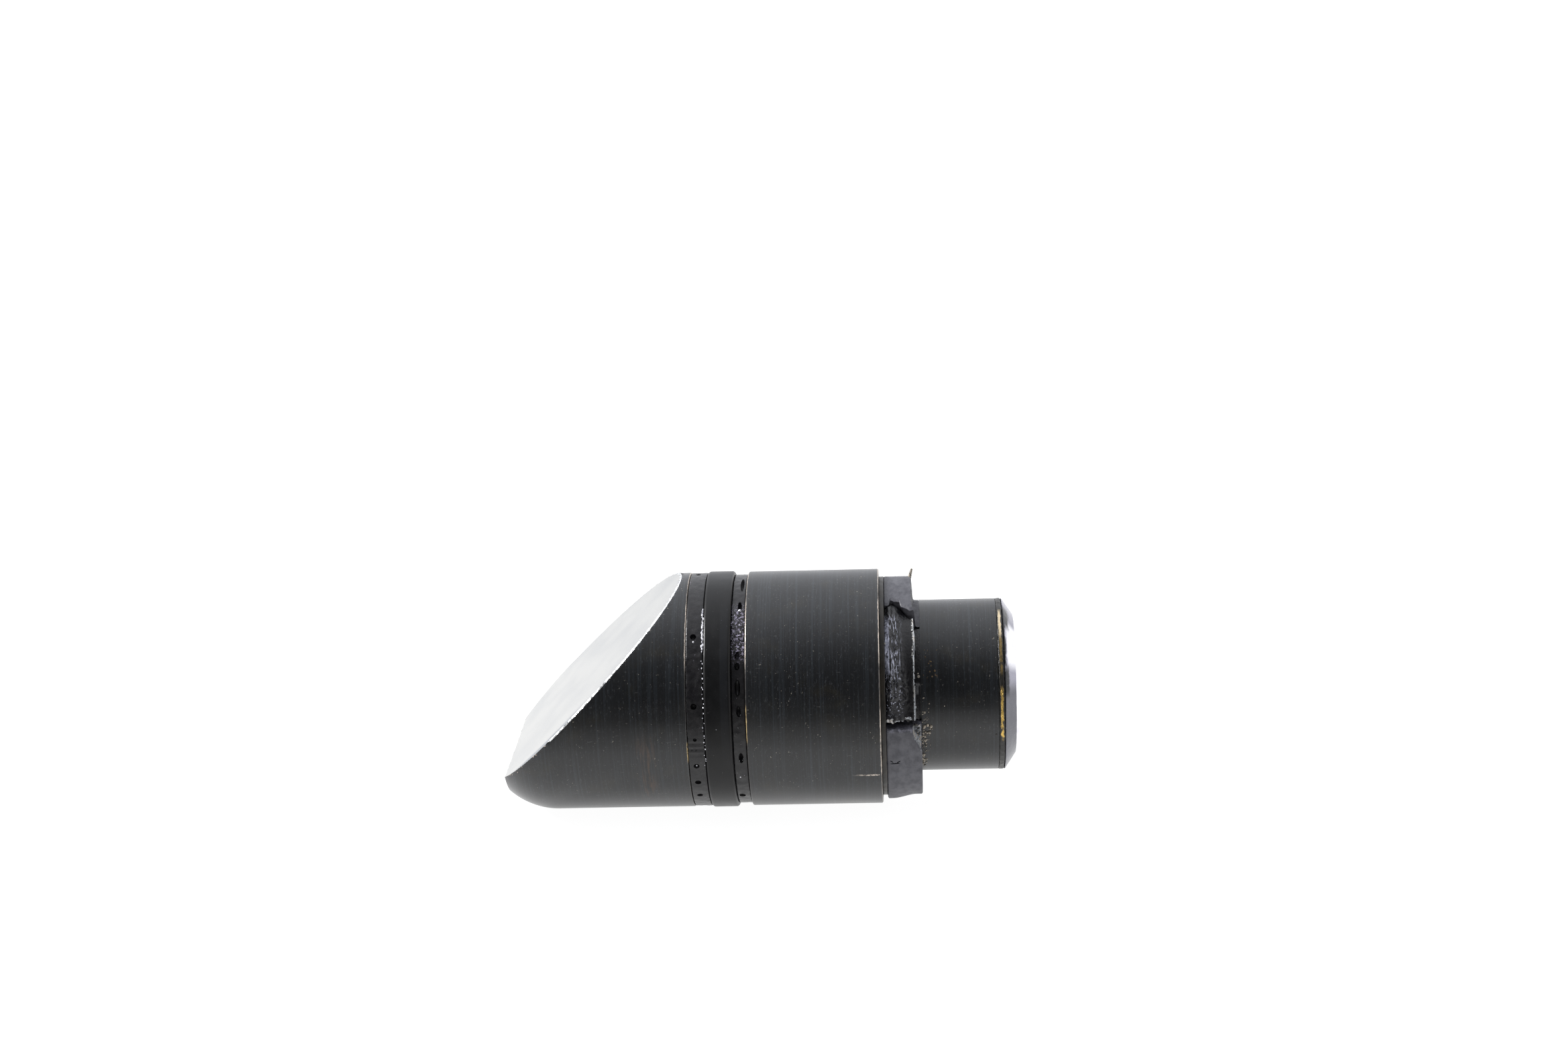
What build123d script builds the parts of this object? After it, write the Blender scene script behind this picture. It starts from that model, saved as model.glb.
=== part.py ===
from build123d import *
import math
import os

# Wedge-nosed locking plunger for a wear-part retainer.
#
# Millimetres. X runs along the plunger, nose towards -X, shank towards +X, and the nose's
# slanted face looks up towards +Z. The origin is on the axis, at the middle of the guide land.
# Round parts are half profiles in the XZ plane, turned about X. Angles round the plunger are
# measured from -Y, rising towards +Z.

# ---- plunger body -------------------------------------------------------------------------
LAND_D = 22.0           # guide land, runs in the housing's bore
LAND_L = 12.2
LAND_EDGE = 0.2         # broken edge at each end of the land
GROOVE_DEPTH = 2.45     # seal groove in front of the land
NOSE_EDGE = 0.14        # broken edge of the groove on the nose side
NOSE_L = 17.4           # groove to the end of the nose
NOSE_ROUND_R = 7.0      # long convex turn-down at the end of the nose
NOSE_ROUND_L = 4.5      # axial reach of that turn-down
WEDGE_FROM_TIP = 5.5    # where the slanted face meets the axis, from the nose end
WEDGE_ANGLE = 45.0      # slanted face to the axis, degrees
SHANK_D = 16.0
SHANK_L = 10.8          # shoulder to the shank's end face
RELIEF_DEPTH = 0.2      # relief under the washer and bumper, radial

# ---- stepped bore in the rear of the shank ------------------------------------------------
MOUTH_WALL = 1.0        # shank wall round the mouth, which holds the collar's spigot
MOUTH_EDGE = 0.15
SPRING_BORE_L = 14.0    # depth of the whole bore from the shank's end face

# ---- seal stack in the groove -------------------------------------------------------------
O_RING_W = 2.5          # axial width of the ring as it sits, flattened a little
O_RING_PROUD = 0.08     # above the land
O_RING_ROUND = 0.85
BACKUP_FRONT_W = 1.4
BACKUP_FRONT_SUNK = 0.05
BACKUP_REAR_W = 1.26
BACKUP_REAR_SUNK = 0.28  # shrunk this far below the land
SEAL_GAP = 0.03         # ring to groove floor, radial
SIDE_GAP = 0.02         # ring to groove wall, and O-ring to rear ring, axial
JOINT_GAP = 0.18        # front ring to O-ring, axial
SCARF_GAP = 0.25        # cut through each backup ring
SCARF_ANGLE = 30.0      # slant of that cut
FRONT_CUT_AT = 232.0    # place of each ring's cut round the plunger, degrees
REAR_CUT_AT = 192.0
RING_EDGE = 0.12

# ---- shoulder washer and bumper -----------------------------------------------------------
WASHER_SHY = 0.75       # washer below the land, radial
WASHER_T = 0.45
WASHER_EDGE = 0.15
WASHER_FIT = 0.05       # washer bore to shank, which it passes over, radial
BUMPER_SHY = 0.75       # bumper below the land, radial
BUMPER_T = 3.25
BUMPER_SUNK = 0.45      # the front segment has sunk this far below the others
BUMPER_CUT = 0.22       # width of the splits between segments
BUMPER_EDGE = 0.35
BUMPER_FIT = 0.05       # bumper bore to relief, radial
RELIEF_GAP = 0.02       # bumper to the end of the relief, axial
SPLIT_UPPER = 64.0      # splits round the plunger, degrees
SPLIT_FRONT = 1.0
SPLIT_BACK = 205.0
SPLIT_UPPER_LEAN = 14.0  # the upper split slants by this much across the bumper

# ---- collar at the end of the shank, turned flush with it ---------------------------------
BRASS_T = 0.55
BRASS_FIT = 0.17        # brass ring to spigot, radial, clear of the mouth's broken edge
COLLAR_T = 1.1
COLLAR_BEVEL = 1.0
COLLAR_BEVEL_R = 1.5    # radial reach of the bevel
SPIGOT_L = 2.0
SPIGOT_WALL = 0.64
SPIGOT_FIT = 0.01       # spigot to mouth, radial

# ---- thrust button, its seal and spring ---------------------------------------------------
BUTTON_FIT = 0.05       # button to collar bore, radial
BUTTON_WALL = 0.95      # round the pocket that holds the spring
DOME_H = 1.7
FLANGE_T = 2.0
FLANGE_FIT = 0.06       # flange to mouth, radial
STOP_GAP = 0.02         # flange to spigot at rest
STROKE = 1.0
BOTTOM_GAP = 0.3        # flange to the step in the bore at full stroke
SEAL_SECTION = 0.9
SEAL_SIDE = 0.15        # seal to each wall of its groove, axial
SEAL_TOP = 0.02         # seal below the button's side, radial
SEAL_SET = 1.35         # seal's middle, behind the collar face
ROOF_T = 1.6            # metal between the seal groove and the pocket
POCKET_FIT = 0.2        # spring to pocket, radial
SPRING_BORE_FIT = 0.25  # spring to bore, radial
SPRING_WIRE = 1.2
SPRING_COILS = 6.0
SPRING_END = 0.01       # spring to seat and to pocket roof
SEAT_T = 1.4
SEAT_FIT = 0.04         # seat to bore, radial
GUIDE_FIT = 0.25        # guide pin to the inside of the spring, radial
GUIDE_L = 7.0
GUIDE_EDGE = 0.5

# ---- diameters that follow from the sizes -------------------------------------------------
GROOVE_FLOOR_D = LAND_D - 2 * GROOVE_DEPTH
O_RING_OD = LAND_D + 2 * O_RING_PROUD
BACKUP_FRONT_OD = LAND_D - 2 * BACKUP_FRONT_SUNK
BACKUP_REAR_OD = LAND_D - 2 * BACKUP_REAR_SUNK
WASHER_OD = LAND_D - 2 * WASHER_SHY
BUMPER_OD = LAND_D - 2 * BUMPER_SHY
RELIEF_D = SHANK_D - 2 * RELIEF_DEPTH
MOUTH_D = SHANK_D - 2 * MOUTH_WALL
SPIGOT_OD = MOUTH_D - 2 * SPIGOT_FIT
COLLAR_BORE_D = SPIGOT_OD - 2 * SPIGOT_WALL
BUTTON_D = COLLAR_BORE_D - 2 * BUTTON_FIT
FLANGE_D = MOUTH_D - 2 * FLANGE_FIT
SEAL_FLOOR_D = BUTTON_D - 2 * (SEAL_TOP + SEAL_SECTION + SEAL_GAP)
POCKET_D = BUTTON_D - 2 * BUTTON_WALL
SPRING_OD = POCKET_D - 2 * POCKET_FIT
SPRING_BORE_D = SPRING_OD + 2 * SPRING_BORE_FIT
GUIDE_D = SPRING_OD - 2 * SPRING_WIRE - 2 * GUIDE_FIT

# ---- places along X that follow from the sizes --------------------------------------------
LAND_X0 = -LAND_L / 2
LAND_X1 = LAND_L / 2
BACKUP_REAR_X0 = LAND_X0 - SIDE_GAP - BACKUP_REAR_W
O_RING_X0 = BACKUP_REAR_X0 - SIDE_GAP - O_RING_W
BACKUP_FRONT_X0 = O_RING_X0 - JOINT_GAP - BACKUP_FRONT_W
GROOVE_X0 = BACKUP_FRONT_X0 - SIDE_GAP
TIP_X = GROOVE_X0 - NOSE_L
WEDGE_X = TIP_X + WEDGE_FROM_TIP
SHANK_X1 = LAND_X1 + SHANK_L
WASHER_X1 = LAND_X1 + WASHER_T
BUMPER_X1 = WASHER_X1 + BUMPER_T
RELIEF_X1 = BUMPER_X1 + RELIEF_GAP
BRASS_X1 = SHANK_X1 + BRASS_T
COLLAR_X1 = BRASS_X1 + COLLAR_T
SPIGOT_X0 = BRASS_X1 - SPIGOT_L
FLANGE_X1 = SPIGOT_X0 - STOP_GAP
FLANGE_X0 = FLANGE_X1 - FLANGE_T
MOUTH_X0 = FLANGE_X0 - STROKE - BOTTOM_GAP
SEAL_GROOVE_X0 = COLLAR_X1 - SEAL_SET - SEAL_SECTION / 2 - SEAL_SIDE
SEAL_GROOVE_X1 = SEAL_GROOVE_X0 + SEAL_SECTION + 2 * SEAL_SIDE
POCKET_X1 = SEAL_GROOVE_X0 - ROOF_T
BORE_X0 = SHANK_X1 - SPRING_BORE_L
SPRING_X0 = BORE_X0 + SEAT_T


def turned(points):
    """Turns a closed outline of (x, radius) points about the X axis."""
    outline = make_face(Polyline([(x, 0, r) for x, r in points], close=True))
    return revolve(outline, Axis.X, 360)


def hoop(x0, x1, outer_r, inner_r, edge=0.0):
    """Flat-sided ring about X, with its outer corners broken by edge or by what its wall allows."""
    edge = min(edge, (outer_r - inner_r) / 3, (x1 - x0) / 3)
    if edge == 0:
        rim = [(x1, outer_r), (x0, outer_r)]
    else:
        rim = [(x1, outer_r - edge), (x1 - edge, outer_r), (x0 + edge, outer_r), (x0, outer_r - edge)]
    return turned([(x0, inner_r), (x1, inner_r)] + rim)


def half_ring_block(angle, lean=0.0):
    """Block filling the 180 degrees of bumper that follow angle; lean turns its face along the plunger."""
    size = 2 * BUMPER_OD
    block = Box(size, size, size, align=(Align.CENTER, Align.CENTER, Align.MIN))
    slant = math.degrees(math.atan(math.radians(lean) * BUMPER_OD / 2 / BUMPER_T))
    return Pos(WASHER_X1 + BUMPER_T / 2, 0, 0) * Rot(-angle, 0, 0) * Rot(0, slant, 0) * block


def plunger_body():
    """Nose, seal groove, guide land and shank, turned from one bar."""
    land_r = LAND_D / 2
    floor_r = GROOVE_FLOOR_D / 2
    shank_r = SHANK_D / 2
    tip_r = land_r - NOSE_ROUND_R + math.sqrt(NOSE_ROUND_R**2 - NOSE_ROUND_L**2)
    round_x = TIP_X + NOSE_ROUND_L
    centre = (round_x, 0, land_r - NOSE_ROUND_R)
    half = math.asin(NOSE_ROUND_L / NOSE_ROUND_R) / 2
    middle = (
        centre[0] - NOSE_ROUND_R * math.sin(half),
        0,
        centre[2] + NOSE_ROUND_R * math.cos(half),
    )
    nose = ThreePointArc((TIP_X, 0, tip_r), middle, (round_x, 0, land_r))
    outline = [
        (round_x, land_r),
        (GROOVE_X0 - NOSE_EDGE, land_r),
        (GROOVE_X0, land_r - NOSE_EDGE),
        (GROOVE_X0, floor_r),
        (LAND_X0, floor_r),
        (LAND_X0, land_r - LAND_EDGE),
        (LAND_X0 + LAND_EDGE, land_r),
        (LAND_X1 - LAND_EDGE, land_r),
        (LAND_X1, land_r - LAND_EDGE),
        (LAND_X1, RELIEF_D / 2),
        (RELIEF_X1, RELIEF_D / 2),
        (RELIEF_X1, shank_r),
        (SHANK_X1, shank_r),
        (SHANK_X1, MOUTH_D / 2 + MOUTH_EDGE),
        (SHANK_X1 - MOUTH_EDGE, MOUTH_D / 2),
        (MOUTH_X0, MOUTH_D / 2),
        (MOUTH_X0, SPRING_BORE_D / 2),
        (BORE_X0, SPRING_BORE_D / 2),
        (BORE_X0, 0),
        (TIP_X, 0),
        (TIP_X, tip_r),
    ]
    rest = Polyline([(x, 0, r) for x, r in outline])
    body = revolve(make_face([nose, rest]), Axis.X, 360)
    reach = 2 * (LAND_D + NOSE_L)
    cutter = Box(reach, reach, reach, align=(Align.CENTER, Align.CENTER, Align.MIN))
    return body - Pos(WEDGE_X, 0, 0) * Rot(0, -WEDGE_ANGLE, 0) * cutter


def o_ring():
    """Elastomer ring between the backup rings, from the groove floor to just proud of the land."""
    inner_r = GROOVE_FLOOR_D / 2 + SEAL_GAP
    height = O_RING_OD / 2 - inner_r
    section = RectangleRounded(O_RING_W, height, O_RING_ROUND)
    place = Pos(O_RING_X0 + O_RING_W / 2, 0, inner_r + height / 2) * Rot(90, 0, 0)
    return revolve(place * section, Axis.X, 360)


def backup_ring(x0, width, outer_d, angle):
    """Flat-sided ring with a slanted cut at angle, so that it can be sprung into the groove."""
    ring = hoop(x0, x0 + width, outer_d / 2, GROOVE_FLOOR_D / 2 + SEAL_GAP, RING_EDGE)
    blade = Box(3 * width, LAND_D, SCARF_GAP, align=(Align.CENTER, Align.MIN, Align.CENTER))
    blade = Rot(-angle + 180, 0, 0) * Rot(0, SCARF_ANGLE, 0) * blade
    return ring - Pos(x0 + width / 2, 0, 0) * blade


def bumper_segment(start, end, start_lean, end_lean, sunk):
    """Part of the bumper ring between two splits, kept half a split's width off each."""
    outer_r = BUMPER_OD / 2 - sunk
    ring = hoop(WASHER_X1, BUMPER_X1, outer_r, RELIEF_D / 2 + BUMPER_FIT, BUMPER_EDGE)
    half_cut = math.degrees(BUMPER_CUT / BUMPER_OD)
    after = half_ring_block(start + half_cut, start_lean)
    before = half_ring_block(end - half_cut - 180, -end_lean)
    return ring & after & before


def brass_ring():
    """Thin soft ring between the shank's end face and the collar."""
    return hoop(SHANK_X1, BRASS_X1, SHANK_D / 2, SPIGOT_OD / 2 + BRASS_FIT)


def retaining_collar():
    """Bevelled flange with a thin spigot that fits the mouth and holds the button in."""
    outer_r = SHANK_D / 2
    bore_r = COLLAR_BORE_D / 2
    spigot_r = SPIGOT_OD / 2
    return turned([
        (SPIGOT_X0, bore_r),
        (COLLAR_X1, bore_r),
        (COLLAR_X1, outer_r - COLLAR_BEVEL_R),
        (COLLAR_X1 - COLLAR_BEVEL, outer_r),
        (BRASS_X1, outer_r),
        (BRASS_X1, spigot_r),
        (SPIGOT_X0, spigot_r),
    ])


def thrust_button():
    """Domed button with a retaining flange, a seal groove and a pocket for the spring."""
    head_r = BUTTON_D / 2
    flange_r = FLANGE_D / 2
    floor_r = SEAL_FLOOR_D / 2
    pocket_r = POCKET_D / 2
    dome_r = (head_r**2 + DOME_H**2) / (2 * DOME_H)
    centre_x = COLLAR_X1 + DOME_H - dome_r
    half = math.asin(head_r / dome_r) / 2
    dome = ThreePointArc(
        (COLLAR_X1, 0, head_r),
        (centre_x + dome_r * math.cos(half), 0, dome_r * math.sin(half)),
        (COLLAR_X1 + DOME_H, 0, 0),
    )
    outline = [
        (COLLAR_X1 + DOME_H, 0),
        (POCKET_X1, 0),
        (POCKET_X1, pocket_r),
        (FLANGE_X0, pocket_r),
        (FLANGE_X0, flange_r),
        (FLANGE_X1, flange_r),
        (FLANGE_X1, head_r),
        (SEAL_GROOVE_X0, head_r),
        (SEAL_GROOVE_X0, floor_r),
        (SEAL_GROOVE_X1, floor_r),
        (SEAL_GROOVE_X1, head_r),
        (COLLAR_X1, head_r),
    ]
    rest = Polyline([(x, 0, r) for x, r in outline])
    return revolve(make_face([dome, rest]), Axis.X, 360)


def button_seal():
    """Small O-ring in the button's groove."""
    ring = Torus(SEAL_FLOOR_D / 2 + SEAL_GAP + SEAL_SECTION / 2, SEAL_SECTION / 2)
    return Pos(COLLAR_X1 - SEAL_SET, 0, 0) * Rot(0, 90, 0) * ring


def spring_seat():
    """Disc on the floor of the bore, with a pin that keeps the spring straight."""
    disc_r = SPRING_BORE_D / 2 - SEAT_FIT
    end_x = SPRING_X0 + GUIDE_L
    pin_r = GUIDE_D / 2
    return turned([
        (BORE_X0, 0),
        (end_x, 0),
        (end_x, pin_r - GUIDE_EDGE),
        (end_x - GUIDE_EDGE, pin_r),
        (SPRING_X0, pin_r),
        (SPRING_X0, disc_r),
        (BORE_X0, disc_r),
    ])


def button_spring():
    """Compression spring between the seat and the roof of the button's pocket."""
    coil_r = (SPRING_OD - SPRING_WIRE) / 2
    rise = POCKET_X1 - SPRING_X0 - SPRING_WIRE - 2 * SPRING_END
    path = Helix(rise / SPRING_COILS, rise, coil_r)
    wire = Plane(origin=path @ 0, z_dir=path % 0) * Circle(SPRING_WIRE / 2)
    coil = sweep(wire, path, is_frenet=True)
    return Pos(SPRING_X0 + SPRING_END + SPRING_WIRE / 2, 0, 0) * Rot(0, 90, 0) * coil


nodes = {
    "plunger_body": plunger_body(),
    "front_backup_ring": backup_ring(BACKUP_FRONT_X0, BACKUP_FRONT_W, BACKUP_FRONT_OD, FRONT_CUT_AT),
    "o_ring": o_ring(),
    "rear_backup_ring": backup_ring(BACKUP_REAR_X0, BACKUP_REAR_W, BACKUP_REAR_OD, REAR_CUT_AT),
    "shoulder_washer": hoop(LAND_X1, WASHER_X1, WASHER_OD / 2, SHANK_D / 2 + WASHER_FIT, WASHER_EDGE),
    "bumper_upper_segment": bumper_segment(SPLIT_UPPER, SPLIT_BACK, SPLIT_UPPER_LEAN, 0, 0),
    "bumper_front_segment": bumper_segment(SPLIT_FRONT, SPLIT_UPPER, 0, SPLIT_UPPER_LEAN, BUMPER_SUNK),
    "bumper_lower_segment": bumper_segment(SPLIT_BACK, SPLIT_FRONT + 360, 0, 0, 0),
    "brass_ring": brass_ring(),
    "retaining_collar": retaining_collar(),
    "thrust_button": thrust_button(),
    "button_seal": button_seal(),
    "button_spring": button_spring(),
    "spring_seat": spring_seat(),
}

os.makedirs("parts", exist_ok=True)
for name, shape in nodes.items():
    export_step(shape, f"parts/{name}.step")
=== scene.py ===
import math
import random

import bpy
from bpy.props import FloatProperty, FloatVectorProperty, IntProperty, PointerProperty
from mathutils import Matrix, Vector, noise


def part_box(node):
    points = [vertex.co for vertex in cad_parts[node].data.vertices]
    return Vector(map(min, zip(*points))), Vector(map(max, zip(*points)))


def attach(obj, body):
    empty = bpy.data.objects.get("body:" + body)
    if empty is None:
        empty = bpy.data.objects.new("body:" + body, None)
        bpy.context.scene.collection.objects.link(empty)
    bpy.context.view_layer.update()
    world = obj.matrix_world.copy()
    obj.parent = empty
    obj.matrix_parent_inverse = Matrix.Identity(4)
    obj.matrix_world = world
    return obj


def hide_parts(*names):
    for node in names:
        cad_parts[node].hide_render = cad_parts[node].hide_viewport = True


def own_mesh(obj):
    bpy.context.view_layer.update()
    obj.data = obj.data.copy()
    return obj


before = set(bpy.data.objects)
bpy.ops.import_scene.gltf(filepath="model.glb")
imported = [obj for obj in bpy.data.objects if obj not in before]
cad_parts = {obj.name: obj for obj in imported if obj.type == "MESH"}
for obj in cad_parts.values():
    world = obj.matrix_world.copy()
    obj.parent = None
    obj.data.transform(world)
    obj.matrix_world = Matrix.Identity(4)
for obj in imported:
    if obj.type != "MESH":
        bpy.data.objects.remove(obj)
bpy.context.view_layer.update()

bl_info = {
    "name": "Locking plunger",
    "version": (1, 0, 0),
    "blender": (4, 5, 0),
    "location": "3D View > Sidebar > Plunger",
    "description": "Builds the looks of a worn wedge-nosed locking plunger round its packed CAD frame",
    "category": "Object",
}

MM = 0.001
DOUBLES = 1e-8                  # metres


def low(node):
    """Lowest corner of a CAD node's box, in millimetres."""
    return Vector(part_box(node)[0]) / MM


def high(node):
    """Highest corner of a CAD node's box, in millimetres."""
    return Vector(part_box(node)[1]) / MM


# Places that the CAD frame gives, in millimetres. X runs from the nose to the button.
TIP_X = low("plunger_body").x
LAND_R = high("plunger_body").z
SHANK_END = high("plunger_body").x
SHANK_R = high("brass_ring").z
GROOVE_X0 = low("front_backup_ring").x - 0.02
GROOVE_X1 = high("rear_backup_ring").x + 0.02
SHOULDER_X = low("shoulder_washer").x
BUMPER_X0 = low("bumper_lower_segment").x
BUMPER_X1 = high("bumper_lower_segment").x
BUMPER_R = high("bumper_upper_segment").z
FLOOR_Z = low("o_ring").z
COLLAR_X0 = high("brass_ring").x
COLLAR_X1 = high("retaining_collar").x

# Sizes that no box gives, in millimetres.
WEDGE_FROM_TIP = 5.5            # where the 45 degree face meets the axis
NOSE_CENTRE, NOSE_ROUND_R = (-24.4, 4.0), 7.0
NOSE_END_R = 9.36               # where the nose's turn-down meets the flat end
GROOVE_FLOOR_R = 8.55
SEAL_INNER_R = 8.6
RELIEF_R = 7.8                  # under the washer and the bumper
BUMPER_INNER_R = 7.87
WASHER_INNER_R = 8.07
MOUTH_R, MOUTH_END_X = 7.0, 12.11
BORE_R, BORE_END_X = 5.4, 2.9
BEVEL, BEVEL_R = 1.0, 1.5       # the collar's bevel, along and across
COLLAR_BORE_R = 6.35
HEAD_R = 6.3
WHOLE = 99.0                    # a step so long that a side is left undivided


# ---------------------------------------------------------------- colours and nodes

def srgb(code):
    """Turns an sRGB hex colour into linear RGBA."""
    parts = [int(code[i:i + 2], 16) / 255 for i in (1, 3, 5)]
    return [c / 12.92 if c <= 0.04045 else ((c + 0.055) / 1.055) ** 2.4 for c in parts] + [1.0]


def add(tree, kind, *values, out=0, **more):
    """Adds one node and returns one of its outputs.

    The values go to its inputs in order, and None leaves one alone. Each name in more is a property of
    the node or else an input, with underscores for spaces, or i and its number. A socket is linked.
    """
    made = tree.nodes.new("ShaderNode" + kind)
    feeds = [(made.inputs[i], value) for i, value in enumerate(values) if value is not None]
    for key, value in more.items():
        if hasattr(made, key):
            setattr(made, key, value)
        else:
            numbered = key[0] == "i" and key[1:].isdigit()
            feeds.append((made.inputs[int(key[1:]) if numbered else key.replace("_", " ")], value))
    for socket, value in feeds:
        if isinstance(value, bpy.types.NodeSocket):
            tree.links.new(value, socket)
        else:
            socket.default_value = value
    return made.outputs[out] if made.outputs else None


def emptied(owner):
    """Node tree of a material or a world, with nothing in it yet."""
    owner.use_nodes = True
    owner.node_tree.nodes.clear()
    return owner.node_tree


class Finish:
    """A material in the making: its tree, and where on the plunger a point lies."""

    def __init__(self, name):
        self.material = bpy.data.materials.new(name)
        self.tree = emptied(self.material)
        self.place = self.add("TexCoord", out=3)
        x, y, z = [self.add("SeparateXYZ", self.place, out=i) for i in range(3)]
        self.x_mm = self.both(x, 1 / MM)
        across = self.add("VectorMath", self.add("CombineXYZ", 0.0, y, z), operation="LENGTH", out=1)
        self.radius = self.both(across, 1 / MM)
        turn = self.add("Math", z, self.both(y, -1.0), operation="ARCTAN2")
        self.angle = self.both(turn, 180 / math.pi)

    def add(self, kind, *values, **more):
        return add(self.tree, kind, *values, **more)

    def marks(self, along, across, detail=3.0, rough=0.6, seed=0.0):
        """Patchy marks of a size in millimetres along X and another across it, from 0 to 1."""
        scale = (1 / (along * MM), 1 / (across * MM), 1 / (across * MM))
        fitted = self.add("Mapping", self.place, Scale=scale)
        return self.add("TexNoise", fitted, seed, 1.0, detail, rough, noise_dimensions="4D")

    def scaled(self, share, least, most):
        """A share brought into a range."""
        return self.add("MapRange", share, 0.0, 1.0, least, most)

    def band(self, value, start, full, fade=None, end=None):
        """Rises from 0 at start to 1 at full and, where given, falls again from fade to end."""
        rise = self.add("MapRange", value, start, full, 0.0, 1.0, interpolation_type="SMOOTHSTEP")
        if fade is None:
            return rise
        fall = self.add("MapRange", value, fade, end, 1.0, 0.0, interpolation_type="SMOOTHSTEP")
        return self.both(rise, fall)

    def both(self, *shares):
        """Product of shares."""
        total = shares[0]
        for share in shares[1:]:
            total = self.add("Math", total, share, operation="MULTIPLY")
        return total

    def either(self, *shares):
        """Largest of shares."""
        total = shares[0]
        for share in shares[1:]:
            total = self.add("Math", total, share, operation="MAXIMUM")
        return total

    def coats(self, base, *layers):
        """Colour built up from a base by layers, each a share and the colour that it lays on."""
        tone, *laid = [srgb(colour) if isinstance(colour, str) else colour
                       for colour in (base, *(colour for _, colour in layers))]
        for (share, _), colour in zip(layers, laid):
            tone = self.add("Mix", share, data_type="RGBA", i6=tone, i7=colour, out=2)
        return tone

    def relief(self, *pairs):
        """Normal from pairs of a height and its depth in millimetres."""
        normal = None
        for height, depth in pairs:
            feed = {"Height": height, "Distance": depth * MM, "Strength": 1.0}
            if normal is not None:
                feed["Normal"] = normal
            normal = self.add("Bump", **feed)
        return normal

    def done(self, **sockets):
        """Adds the shader with its inputs and returns the material."""
        shader = self.add("BsdfPrincipled", **sockets)
        self.add("OutputMaterial", shader)
        return self.material


# ---------------------------------------------------------------- finishes

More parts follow.
